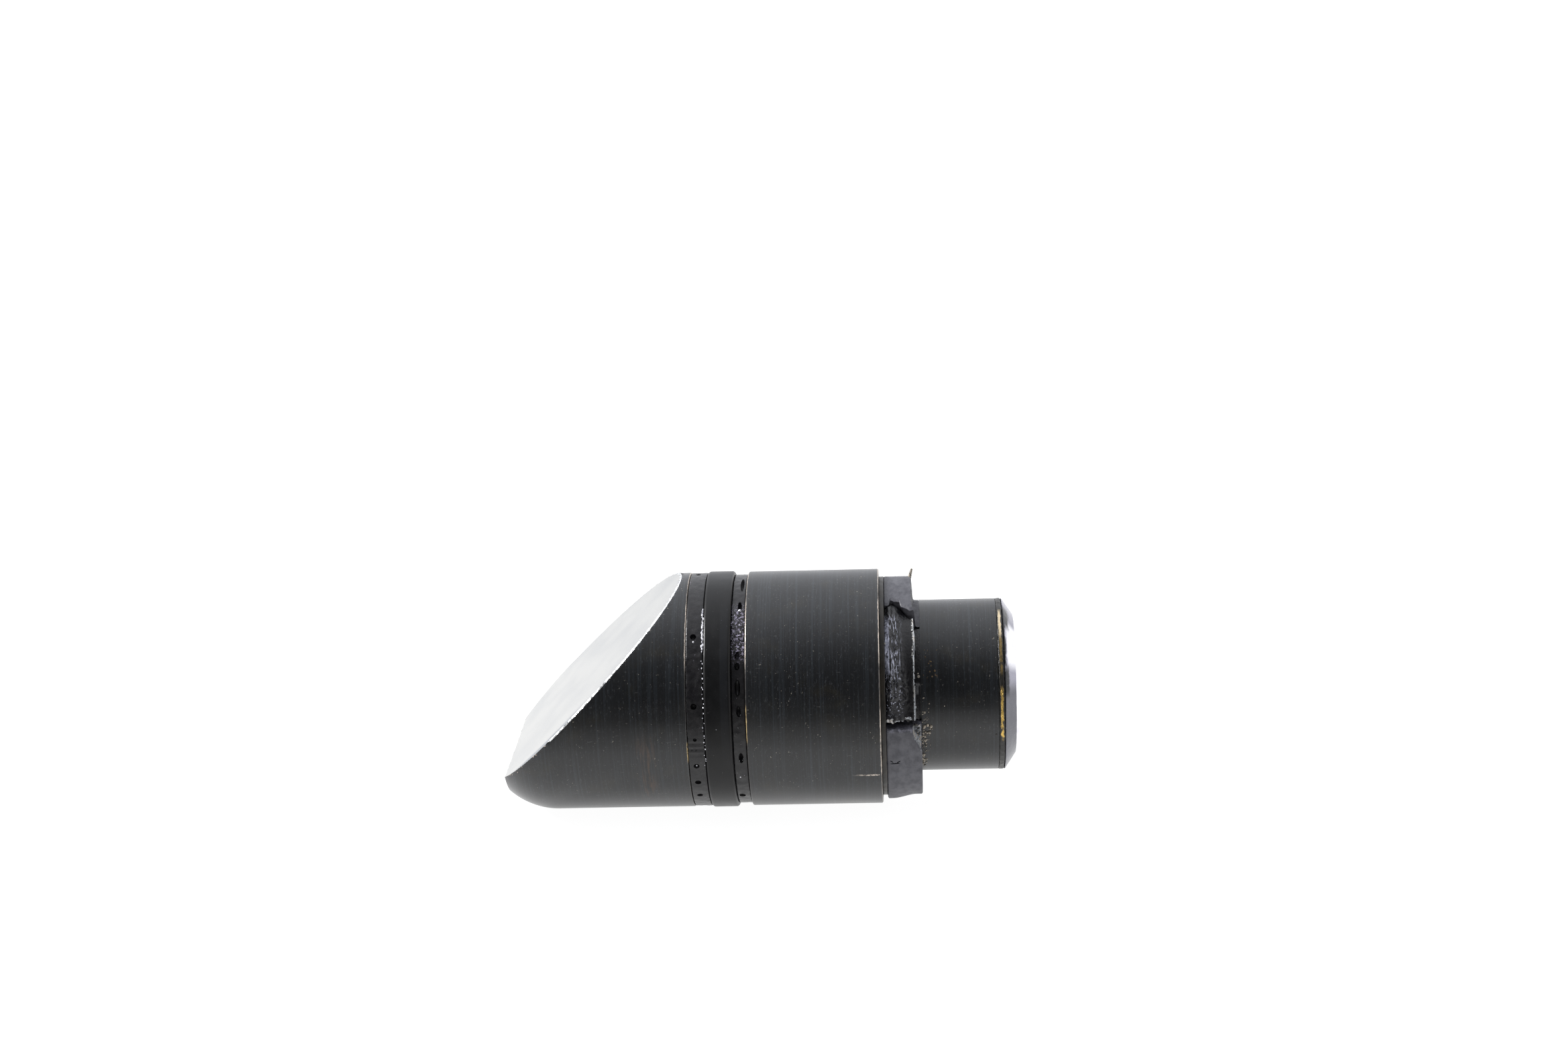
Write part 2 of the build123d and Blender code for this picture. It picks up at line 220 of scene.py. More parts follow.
def black_oxide(colour, wear):
    """Turned alloy steel, hot blackened and oiled: a thin glassy dark skin over fine lathe marks, brownish in
    patches, rubbed through to pale metal where its edges have slid, that pale made stronger along the upper
    run of the edges as a painted highlight."""
    f = Finish("black_oxide_turned_steel")
    lathe = f.marks(0.2, 16.0, 2.0, 0.8)            # a 0.05 mm feed, drawn four times coarser to show
    fine = f.marks(0.12, 0.5, 3.0, 0.7, 4.0)
    cloud = f.marks(3.4, 2.6, 4.0, 0.6, 9.0)
    grey = f.marks(7.0, 5.0, 3.0, 0.5, 12.0)
    scratch = f.band(f.marks(0.9, 0.12, 2.0, 0.5, 2.0), 0.68, 0.74)
    specks = f.both(f.band(f.marks(0.17, 0.17, 1.0, 0.5, 21.0), 0.70, 0.76),
                    f.band(f.marks(3.0, 2.0, 2.0, 0.5, 23.0), 0.4, 0.62))

    # Rubbed edges: both sides of the seal groove and the shoulder, each a little ragged; their pale is worn
    # metal, made stronger along the upper run as a painted highlight.
    jitter = f.add("Math", f.marks(0.5, 0.5, 4.0, 0.7, 6.0), 0.5, operation="SUBTRACT")
    place = f.add("Math", jitter, 0.16, f.x_mm, operation="MULTIPLY_ADD")
    ragged = f.band(f.marks(0.2, 0.5, 4.0, 0.7, 7.0), 0.34, 0.52)
    outer = f.band(f.radius, LAND_R - 0.24, LAND_R - 0.12)
    nose_edge = f.both(outer, f.band(place, GROOVE_X0 - 0.12, GROOVE_X0 - 0.06,
                                     GROOVE_X0 + 0.2, GROOVE_X0 + 0.3))
    left = f.both(f.band(place, GROOVE_X1 - 0.3, GROOVE_X1 - 0.2, GROOVE_X1 + 0.04, GROOVE_X1 + 0.10), outer)
    right = f.both(f.band(place, SHOULDER_X - 0.12, SHOULDER_X - 0.06), outer)
    # The upper run is the side the light falls on: pale laid there is a painted highlight on the worn edges.
    painted_highlight_run = f.either(f.band(f.angle, 26.0, 36.0, 60.0, 74.0), f.both(f.band(f.angle, 58.0, 92.0), 0.8))
    low_run = f.band(f.angle, 12.0, 6.0, -26.0, -29.0)
    stroke = f.both(f.band(f.angle, -28.2, -27.7, -27.2, -26.7), f.band(f.x_mm, 3.2, 5.2),
                    f.band(f.x_mm, 5.92, 5.8), f.band(f.marks(0.3, 0.3, 3.0, 0.7, 15.0), 0.36, 0.56))
    groove_wear_and_highlight = f.both(f.either(nose_edge, f.both(left, 0.85)),
                         f.scaled(ragged, 0.3, 1.0),
                         f.scaled(painted_highlight_run, 0.05, 0.85))
    shoulder_wear_and_highlight = f.both(right, f.scaled(ragged, 0.2, 1.0),
                           f.either(painted_highlight_run, f.both(low_run, 0.7), 0.18))
    # pale: worn bare metal on the edges, together with the painted highlight along their upper run.
    pale = f.both(f.either(groove_wear_and_highlight, shoulder_wear_and_highlight, f.both(stroke, 0.75)), wear)
    golden = f.both(f.either(f.both(nose_edge, f.band(f.angle, -5.0, -8.0, -14.0, -18.0)),
                             f.both(left, f.band(f.angle, 13.0, 9.0, -4.0, -8.0))), ragged)
    rusty = f.both(f.band(f.x_mm, -16.6, -15.6, -15.2, -14.2), f.band(f.angle, 2.0, -12.0, -36.0, -48.0),
                   f.band(f.marks(0.3, 2.5, 3.0, 0.6, 27.0), 0.42, 0.66))

    tone = f.coats(colour,
                   (f.both(f.band(cloud, 0.5, 0.74), 0.7), "#1e1b13"),
                   (f.both(f.band(lathe, 0.46, 0.74), 0.7), "#262b30"),
                   (f.both(f.band(fine, 0.56, 0.72), 0.26), "#5c6064"),
                   (f.both(scratch, 0.12), "#8a8a88"),
                   (f.both(specks, 0.55), "#9a9488"),
                   (f.both(rusty, 0.6), "#4a3524"),
                   (pale, "#dccfc2"),
                   (golden, "#c0a878"))
    rough = f.add("Math", f.scaled(grey, 0.22, 0.36),
                  f.scaled(fine, -0.03, 0.05), operation="ADD")
    rough = f.scaled(pale, rough, 0.42)
    return f.done(Base_Color=tone, Metallic=f.both(pale, 0.55), Roughness=rough, IOR=1.5,
                  Normal=f.relief((lathe, 0.0022), (fine, 0.0012), (scratch, 0.003)))


def ground_steel():
    """Fresh ground alloy steel: bright, with straight grinding lines and a painted darker blue-grey
    reflection beside the rim towards the bottom.
    """
    f = Finish("ground_steel_face")
    lines = f.marks(3.0, 0.09, 3.0, 0.6)
    cloud = f.marks(5.0, 5.0, 2.0, 0.5, 3.0)
    # A darker blue-grey band beside the rim, towards the bottom only: a painted reflection.
    painted_rim_reflection = f.both(f.band(f.radius, 9.7, 10.5), f.band(f.angle, -52.0, -44.0, -2.0, 22.0))
    tone = f.coats("#b8b8b6", (f.band(cloud, 0.35, 0.7), "#acadad"), (f.both(painted_rim_reflection, 0.9), "#6f767e"))
    return f.done(Base_Color=tone, Metallic=1.0, Roughness=f.scaled(lines, 0.24, 0.34),
                  Normal=f.relief((lines, 0.004)))


def bared_rim():
    """The rim of the ground face: steel bruised into tiny bright facets, still dark near the point."""
    f = Finish("bruised_steel_rim")
    facets = f.marks(0.16, 0.16, 3.0, 0.7)
    near_point = f.band(f.x_mm, -23.6, -24.8)
    chips = f.band(f.marks(0.5, 0.5, 3.0, 0.7, 3.0), 0.56, 0.62)
    bright = f.coats("#aeb4ba", (f.band(facets, 0.3, 0.5), "#ffffff"))
    dark = f.coats("#2a2a2b", (chips, "#c9b3a4"))
    return f.done(Base_Color=f.coats(bright, (near_point, dark)),
                  Metallic=f.scaled(near_point, 1.0, 0.2),
                  Roughness=f.scaled(facets, 0.16, 0.34), Normal=f.relief((facets, 0.05)))


def filled_ptfe():
    """Carbon-filled PTFE backup ring: near black and waxy, with cut marks round it, pores and pale dust, and
    crinkled and shiny where the rear ring has torn, with painted violet glints on the pores there."""
    f = Finish("carbon_filled_ptfe")
    turning = f.marks(0.12, 4.0, 3.0, 0.7)
    pores = f.marks(0.22, 0.22, 4.0, 0.75, 2.0)
    mottle = f.marks(0.9, 0.9, 4.0, 0.65, 5.0)
    dust = f.both(f.band(f.marks(0.12, 0.2, 2.0, 0.5, 8.0), 0.68, 0.76), f.band(mottle, 0.42, 0.6))
    torn = f.both(f.band(f.x_mm, -7.7, -7.5), f.band(f.angle, 30.0, 42.0, 60.0, 68.0))
    crinkle = f.both(f.marks(0.2, 0.2, 2.0, 0.6, 11.0), torn)
    # The violet layer on the pores of the torn patch, high on the rear ring, is a painted glint.
    tone = f.coats("#0e0d10", (f.band(mottle, 0.4, 0.7), "#1e1d1e"), (f.both(dust, 0.7), "#9c98a4"),
                   (f.both(torn, f.band(pores, 0.5, 0.6)), "#8b869a"))
    rough = f.scaled(torn, f.scaled(pores, 0.2, 0.42), 0.14)
    return f.done(Base_Color=tone, Roughness=rough, IOR=1.42,
                  Normal=f.relief((turning, 0.004), (pores, 0.016), (mottle, 0.03), (crinkle, 0.08)))


def nitrile():
    """Moulded nitrile rubber: black, softly shiny with oil, faint lines where it has been rolled round, and a
    painted soft highlight along its flattened top.
    """
    f = Finish("moulded_nitrile_rubber")
    lines = f.marks(0.14, 6.0, 2.0, 0.6)
    film = f.marks(1.6, 2.6, 3.0, 0.6, 3.0)
    specks = f.band(f.marks(0.16, 0.16, 1.0, 0.5, 6.0), 0.73, 0.78)
    # A lighter band along the flattened top, on its front and upper side: a painted highlight.
    flat_top_highlight = f.both(f.band(f.x_mm, -8.45, -8.3, -7.75, -7.6), f.band(f.angle, -25.0, 10.0, 40.0, 75.0))
    tone = f.coats("#070708", (f.band(film, 0.45, 0.7), "#0f0f10"), (f.both(flat_top_highlight, 0.35), "#1e2024"),
                   (f.both(specks, 0.35), "#77767c"))
    return f.done(Base_Color=tone, Roughness=f.scaled(film, 0.3, 0.42), IOR=1.34,
                  Normal=f.relief((lines, 0.004), (film, 0.01)))


def oiled_washer():
    """Pressed steel washer under old oil: dark olive brown and dull."""
    f = Finish("oil_stained_washer_steel")
    stain = f.marks(0.5, 1.4, 4.0, 0.65)
    grit = f.marks(0.12, 0.12, 2.0, 0.6, 3.0)
    tone = f.coats("#17140e", (f.band(stain, 0.35, 0.65), "#2a241a"),
                   (f.both(f.band(grit, 0.7, 0.8), 0.6), "#8c8474"))
    return f.done(Base_Color=tone, Roughness=f.scaled(stain, 0.34, 0.5),
                  Normal=f.relief((grit, 0.01), (stain, 0.02)))


def rubbed_polyurethane(colour):
    """Cast polyurethane, dark grey right through, dull where it has been rubbed, with one bruised end."""
    f = Finish("rubbed_polyurethane")
    skin = f.marks(0.16, 0.26, 3.0, 0.7)
    wave = f.marks(1.4, 1.4, 3.0, 0.6, 3.0)
    bloom = f.marks(0.6, 0.9, 4.0, 0.6, 5.0)
    bruised = f.both(f.band(f.angle, -5.2, -4.2, -3.4, -2.0),
                     f.band(f.marks(0.5, 0.5, 4.0, 0.7, 8.0), 0.42, 0.6))
    tone = f.coats(colour, (f.band(bloom, 0.35, 0.7), "#35353c"), (f.both(bruised, 0.5), "#8d8d9a"))
    return f.done(Base_Color=tone, Roughness=f.scaled(bloom, 0.46, 0.6), IOR=1.5,
                  Normal=f.relief((skin, 0.008), (wave, 0.02)))


def torn_polyurethane():
    """Cast polyurethane where it has torn: near black and glassy, with painted highlights on its lip and
    ridges, long ones higher up and spots lower down, and painted shade darkening its sunk rear half."""
    f = Finish("torn_polyurethane")
    skin = f.marks(0.16, 0.26, 3.0, 0.7)
    wave = f.marks(1.4, 1.4, 3.0, 0.6, 3.0)
    bloom = f.marks(0.6, 0.9, 4.0, 0.6, 5.0)
    ridges = f.band(f.marks(0.11, 0.7, 3.0, 0.6, 11.0), 0.53, 0.60)
    spots = f.band(f.marks(0.2, 0.24, 3.0, 0.7, 14.0), 0.57, 0.63)
    # lip, ridges and spots place painted highlights; whitened is where that painted white goes.
    lip = f.both(f.band(f.x_mm, 6.5, 6.56, 6.9, 7.05), f.band(f.marks(0.3, 0.5, 3.0, 0.7, 17.0), 0.36, 0.5))
    whitened = f.either(f.both(lip, f.band(f.angle, 24.0, 36.0, 52.0, 60.0)),
                        f.both(ridges, f.band(f.x_mm, 6.5, 6.7, 7.4, 8.3),
                               f.band(f.angle, 20.0, 34.0, 56.0, 62.0), 0.85),
                        f.both(spots, f.band(f.x_mm, 6.5, 6.6, 7.6, 8.4),
                               f.band(f.angle, 2.0, 8.0, 28.0, 36.0), 0.7))
    # The near-black layer from x 7.9 to 8.7 mm is painted shade on the sunk rear half.
    tone = f.coats("#0f0f12", (f.band(bloom, 0.35, 0.7), "#1a1a1e"), (f.band(f.x_mm, 7.9, 8.7), "#060508"),
                   (whitened, "#c3c6d8"))
    return f.done(Base_Color=tone, Roughness=f.scaled(skin, 0.14, 0.3), IOR=1.5,
                  Normal=f.relief((skin, 0.05), (wave, 0.02)))


def torn_edge():
    """The feathered edge of torn polyurethane, pale where it has stretched and picked up metal dust."""
    f = Finish("stress_whitened_polyurethane")
    grain = f.marks(0.14, 0.14, 3.0, 0.7)
    warm = f.marks(0.8, 0.8, 2.0, 0.5, 3.0)
    pale = f.coats("#a9adb2", (f.band(warm, 0.5, 0.7), "#b5aa9b"))
    tone = f.coats("#4a4a48", (f.band(grain, 0.4, 0.55), pale))
    return f.done(Base_Color=tone, Roughness=0.42, IOR=1.5, Normal=f.relief((grain, 0.03)))


def brass(colour):
    """Soft brass squeezed between two steel faces: golden where it is rubbed, brown and dull elsewhere."""
    f = Finish("squeezed_brass")
    tarnish = f.marks(0.5, 1.0, 4.0, 0.65)
    beads = f.marks(0.18, 0.18, 2.0, 0.6, 4.0)
    rubbed = f.either(f.band(f.angle, 20.0, 14.0, -18.0, -22.0),
                      f.both(f.band(f.angle, 24.0, 32.0, 50.0, 58.0), 0.2))
    wander = f.add("Math", f.marks(0.5, 0.5, 3.0, 0.7, 5.0), 0.3, f.x_mm, operation="MULTIPLY_ADD")
    line = f.band(wander, COLLAR_X0 - 0.28, COLLAR_X0 - 0.2, COLLAR_X0 - 0.04, COLLAR_X0 + 0.02)
    gold = f.both(rubbed, f.band(tarnish, 0.62, 0.46), line)
    chalky = f.both(line, f.band(f.angle, 50.0, 58.0, 74.0, 80.0))
    tone = f.coats("#16140f", (gold, colour), (chalky, "#b8a88a"))
    return f.done(Base_Color=tone, Metallic=f.both(gold, 0.9),
                  Roughness=f.scaled(beads, 0.28, 0.5), Normal=f.relief((beads, 0.03)))


def collar_steel():
    """Turned bare steel, faced smooth: bright, with a few dark oil patches and pale pin marks, a painted
    white highlight along the upper bevel and painted light over its upper half.
    """
    f = Finish("faced_collar_steel")
    turning = f.marks(0.10, 9.0, 2.0, 0.7)
    oil = f.marks(0.5, 1.3, 4.0, 0.6, 3.0)
    pins = f.band(f.marks(0.12, 0.12, 1.0, 0.5, 6.0), 0.72, 0.77)
    wander = f.add("Math", oil, 0.5, operation="SUBTRACT")
    across = f.add("Math", wander, 0.5, f.x_mm, operation="MULTIPLY_ADD")
    bevel = COLLAR_X1 - BEVEL
    places = ((0.55, 0.35, (58.0, 66.0, 78.0, 90.0)), (0.42, 0.24, (9.0, 15.0, 27.0, 35.0)),
              (0.14, 0.06, (28.0, 34.0, 64.0, 70.0)))
    patches = f.either(*(f.both(f.band(across, bevel + start, bevel + full), f.band(f.angle, *turn))
                         for start, full, turn in places))
    # rubbed: a painted white highlight along the upper bevel, where the light falls.
    rubbed = f.both(f.band(f.angle, 27.0, 38.0, 64.0, 72.0), f.band(across, bevel + 0.1, bevel + 0.3))
    # The lighter layer over the upper half is painted light; the lower half keeps the darker base.
    tone = f.coats("#66666c", (f.band(f.angle, 12.0, 26.0, 150.0, 178.0), "#9d9ca8"), (rubbed, "#fbfbff"),
                   (patches, "#14171d"), (f.both(pins, 0.6), "#dcdcdc"))
    return f.done(Base_Color=tone, Metallic=f.scaled(patches, 1.0, 0.3),
                  Roughness=f.scaled(oil, 0.2, 0.34), Normal=f.relief((turning, 0.004)))


def polished_steel(name, colour, rough):
    """Hardened steel, polished, with hair marks from its polishing."""
    f = Finish(name)
    hair = f.marks(0.06, 2.0, 3.0, 0.6)
    haze = f.marks(1.2, 1.2, 3.0, 0.6, 3.0)
    tone = f.coats(colour, (f.band(haze, 0.4, 0.7), "#e4e2e8"))
    return f.done(Base_Color=tone, Metallic=1.0, Roughness=f.scaled(hair, rough, rough + 0.1),
                  Normal=f.relief((hair, 0.002)))


def granular(name, one, two, size, rough, metallic=0.0):
    """A fine-grained finish of two colours: oiled seal rubber, dried swarf paste, rust or grease."""
    f = Finish(name)
    grain = f.marks(size, size, 3.0, 0.6)
    tone = f.coats(one, (f.band(grain, 0.38, 0.6), two))
    return f.done(Base_Color=tone, Metallic=metallic, Roughness=rough, Normal=f.relief((grain, size * 0.2)))


# ---------------------------------------------------------------- modelling by hand

def clear():
    """Object mode with nothing selected."""
    if bpy.context.object and bpy.context.object.mode != "OBJECT":
        bpy.ops.object.mode_set(mode="OBJECT")
    bpy.ops.object.select_all(action="DESELECT")


def hold(made):
    """Selects one piece and makes it active."""
    clear()
    bpy.context.view_layer.objects.active = made
    made.select_set(True)


def around(radius, angle, x=0.0):
    """Place in metres from a radius and x in millimetres and an angle from -Y towards +Z in degrees."""
    turn = math.radians(angle)
    return Vector((x, -radius * math.cos(turn), radius * math.sin(turn))) * MM


def where(spot):
    """x, radius and angle of a place: millimetres, and degrees from -Y towards +Z, -180 to 180."""
    return spot.x / MM, math.hypot(spot.y, spot.z) / MM, math.degrees(math.atan2(spot.z, -spot.y))


def hump(value, centre, reach):
    """1 at centre, falling smoothly to 0 at reach on either side."""
    off = min(1.0, abs(value - centre) / reach)
    return (1 - off * off) ** 2


def rise(value, start, full):
    """0 at start, 1 at full, smooth between."""
    share = min(1.0, max(0.0, (value - start) / (full - start)))
    return share * share * (3 - 2 * share)


def arc(x, r, radius, start, end, count):
    """Places round a corner centre, as (x, radius) from angle start to end in degrees."""
    turns = [math.radians(start + (end - start) * i / count) for i in range(count + 1)]
    return [(x + radius * math.cos(t), r + radius * math.sin(t)) for t in turns]


def run(start, end, step):
    """Places along a straight line, its end left out, no further apart than step."""
    count = max(1, round(math.dist(start, end) / step))
    return [(start[0] + (end[0] - start[0]) * i / count, start[1] + (end[1] - start[1]) * i / count)
            for i in range(count)]


def ring_outline(x0, x1, inner, top, edge, steps, corner=3):
    """Ring section with broken outer corners; steps are its spacings in front, outside, behind, inside."""
    front, outside, rear, inside = steps
    return (run((x0, inner), (x0, top - edge), front) + arc(x0 + edge, top - edge, edge, 180, 90, corner)
            + run((x0 + edge, top), (x1 - edge, top), outside) + arc(x1 - edge, top - edge, edge, 90, 0, 3)
            + run((x1, top - edge), (x1, inner), rear) + run((x1, inner), (x0, inner), inside))


def merged():
    """Merges doubles, turns the faces outwards and leaves edit mode."""
    bpy.ops.mesh.select_all(action="SELECT")
    bpy.ops.mesh.remove_doubles(threshold=DOUBLES)
    bpy.ops.mesh.normals_make_consistent(inside=False)
    bpy.ops.mesh.select_all(action="DESELECT")
    bpy.ops.object.mode_set(mode="OBJECT")


def turned(name, outline, steps=192, start=0.0, sweep=360.0, closed=True):
    """Turns an outline of (x, radius) in millimetres about X, all round or through sweep degrees."""
    clear()
    bpy.ops.mesh.primitive_plane_add(size=MM)
    made = bpy.context.object
    made.name = name
    bpy.ops.object.mode_set(mode="EDIT")
    bpy.ops.mesh.select_mode(type="VERT")
    bpy.ops.mesh.select_all(action="SELECT")
    bpy.ops.mesh.merge(type="CENTER")
    here = around(outline[0][1], start, outline[0][0])
    bpy.ops.transform.translate(value=here)
    for x, r in outline[1:] + (outline[:1] if closed else []):
        there = around(r, start, x)
        bpy.ops.mesh.extrude_region_move(TRANSFORM_OT_translate={"value": there - here})
        here = there
    bpy.ops.mesh.select_all(action="SELECT")
    bpy.ops.mesh.remove_doubles(threshold=DOUBLES)
    if sweep < 360:
        bpy.ops.mesh.edge_face_add()
    bpy.ops.mesh.spin(steps=steps, angle=math.radians(sweep), center=(0, 0, 0), axis=(1, 0, 0))
    merged()
    return made


def pick(made, wanted, kind="FACE"):
    """Goes into edit mode with the faces or vertices that wanted(element) chooses selected."""
    hold(made)
    bpy.ops.object.mode_set(mode="EDIT")
    bpy.ops.mesh.select_mode(type=kind)
    bpy.ops.mesh.select_all(action="DESELECT")
    bpy.ops.object.mode_set(mode="OBJECT")
    for element in (made.data.polygons if kind == "FACE" else made.data.vertices):
        element.select = bool(wanted(element))
    bpy.ops.object.mode_set(mode="EDIT")


def change(made, kind, **settings):
    """Adds a modifier and applies it."""
    hold(made)
    modifier = made.modifiers.new(kind.title(), kind)
    for key, value in settings.items():
        setattr(modifier, key, value)
    bpy.ops.object.modifier_apply(modifier=modifier.name)


def roughen(made, depth, size, weight=None, detail=3):
    """Displaces a mesh by cloudy relief: depth and patch size in millimetres, weight(x, radius, angle)."""
    cloud = bpy.data.textures.new(made.name + "_relief", "CLOUDS")
    cloud.noise_scale = size * MM
    cloud.noise_depth = detail
    group = ""
    if weight:
        group = "relief"
        made.vertex_groups.new(name=group)
        for vertex in made.data.vertices:
            share = weight(*where(vertex.co))
            if share > 0:
                made.vertex_groups[group].add([vertex.index], min(1.0, share), "REPLACE")
    change(made, "DISPLACE", texture=cloud, strength=depth * MM, mid_level=0.5, texture_coords="LOCAL",
           vertex_group=group)
    if weight:
        made.vertex_groups.clear()


def shape(made, rule):
    """Moves each vertex to rule(x, radius, angle), for torn rubber that no modelling operator gives."""
    for vertex in made.data.vertices:
        x, radius, angle = where(vertex.co)
        if radius > 1:
            x, radius, angle = rule(x, radius, angle)
            vertex.co = around(radius, angle, x)


def carve(made, cutters):
    """Joins cutting shapes and takes them out of a piece."""
    clear()
    for cutter in cutters:
        cutter.select_set(True)
    bpy.context.view_layer.objects.active = cutters[0]
    if len(cutters) > 1:
        bpy.ops.object.join()
    cutter = bpy.context.object
    change(made, "BOOLEAN", operation="DIFFERENCE", object=cutter, solver="EXACT", use_self=True)
    bpy.data.objects.remove(cutter)


def blob(x, radius, angle, size, stretch=(1, 1, 1), turn=0.0, detail=2):
    """Rounded lump at a place on the plunger: size across in millimetres, stretched along X, round it and
    outwards, then turned about the outward line."""
    clear()
    bpy.ops.mesh.primitive_ico_sphere_add(subdivisions=detail, radius=size / 2 * MM)
    made = bpy.context.object
    facing = Matrix.Rotation(math.radians(90 - angle), 4, "X")
    frame_turn = facing @ Matrix.Rotation(math.radians(turn), 4, "Z") @ Matrix.Diagonal((*stretch, 1))
    made.matrix_world = Matrix.Translation(around(radius, angle, x)) @ frame_turn
    bpy.ops.object.transform_apply(location=True, rotation=True, scale=True)
    return made


def gather(name, parts):
    """Joins small parts into one piece."""
    clear()
    for part in parts:
        part.select_set(True)
    bpy.context.view_layer.objects.active = parts[0]
    bpy.ops.object.join()
    made = bpy.context.object
    made.name = name
    return made


def smooth(made, limit=35.0):
    """Smooth shading that keeps edges sharper than a limit."""
    hold(made)
    bpy.ops.object.shade_smooth_by_angle(angle=math.radians(limit))


def settle(made, slot, *nodes, body="plunger", finishes=()):
    """Gives a finished piece its materials and its body and hides the CAD nodes that it stands for; slot is
    not used.
    """
    if finishes:
        kept = [face.material_index for face in made.data.polygons]
        made.data.materials.clear()
        for material in finishes:
            made.data.materials.append(material)
        made.data.polygons.foreach_set("material_index", kept)
    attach(made, body)
    if nodes:
        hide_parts(*nodes)


# ---------------------------------------------------------------- settings

def tint(label, about, code):
    """Colour setting with its default."""
    return FloatVectorProperty(name=label, description=about, default=srgb(code)[:3], subtype="COLOR",
                               min=0.0, max=1.0, size=3)


class PlungerFinishSettings(bpy.types.PropertyGroup):
    """Colours and wear of the plunger's finishes."""
    rubber: tint("Bumper", "Colour of the cast polyurethane bumper", "#4b4b51")
    brass: tint("Brass", "Colour of the rubbed brass ring", "#cfae62")
    button: tint("Button", "Colour of the polished button", "#f2f1f3")
    wear: FloatProperty(name="Edge wear", description="How far the black skin is rubbed off the edges",
                        default=1.0, min=0.0, max=1.0, subtype="FACTOR")


class PlungerShapeSettings(bpy.types.PropertyGroup):
    """Sizes of what the CAD frame leaves to be finished."""
    steps: IntProperty(name="Steps round the body", description="Faces round each turned piece",
                       default=288, min=64, max=512)
    rim: FloatProperty(name="Rim", description="Width of the bruised rim round the wedge face",
                       default=0.13 * MM, min=0.02 * MM, max=0.5 * MM, unit="LENGTH")
    seed: IntProperty(name="Seed", description="Chooses where the loose specks lie", default=7, min=0)


def hexed(colour):
    """Settings colour as an sRGB hex code."""
    parts = [12.92 * c if c <= 0.0031308 else 1.055 * c ** (1 / 2.4) - 0.055 for c in colour]
    return "#" + "".join(f"{round(255 * part):02x}" for part in parts)


# ---------------------------------------------------------------- pieces

